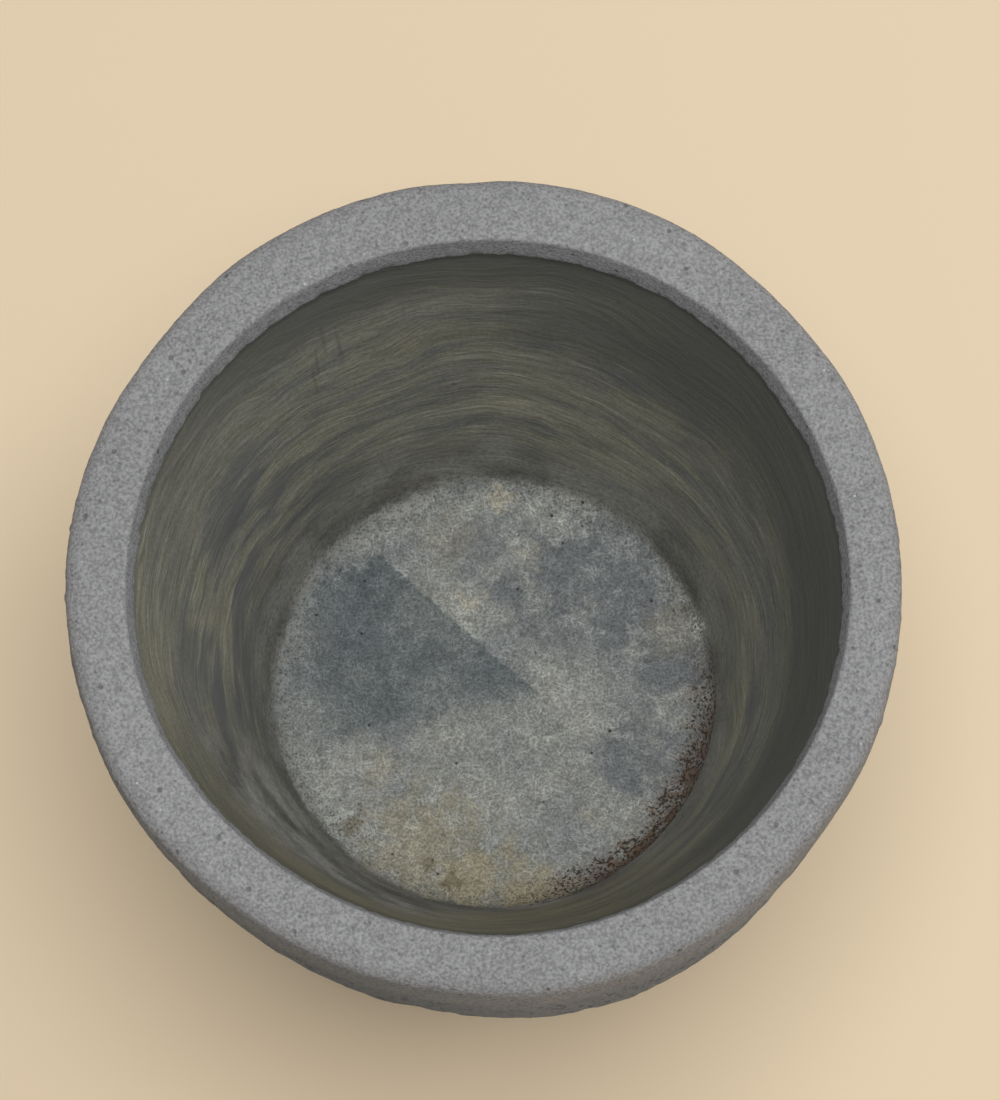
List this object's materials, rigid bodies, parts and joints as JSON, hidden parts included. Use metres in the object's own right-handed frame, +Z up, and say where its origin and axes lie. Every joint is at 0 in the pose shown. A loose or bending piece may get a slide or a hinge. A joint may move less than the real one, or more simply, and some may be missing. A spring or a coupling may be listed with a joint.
{
  "type": "molcajete with pestle",
  "caption": "Deep hand-carved stone mortar on three stub legs, with a loose stone pestle for grinding food.",
  "frame": {"origin": "on the mortar's axis, in the plane of the surface that it stands on", "axes": "+Z up along the mortar's axis; +Y towards the single back leg; the pestle lies along X in front, on the -Y side"},
  "size_m": [0.2, 0.28, 0.173],
  "materials": {
    "mortar_stone": "matte",
    "pestle_stone": "matte"
  },
  "bodies": {
    "mortar": {"mortar": "mortar_stone"},
    "pestle": {"pestle": "pestle_stone"}
  },
  "joints": [
    {"name": "pestle_lift", "type": "slide", "parent": "mortar", "child": "pestle", "axis": [0, 0, 1], "range_m": [0, 0.2]}
  ]
}
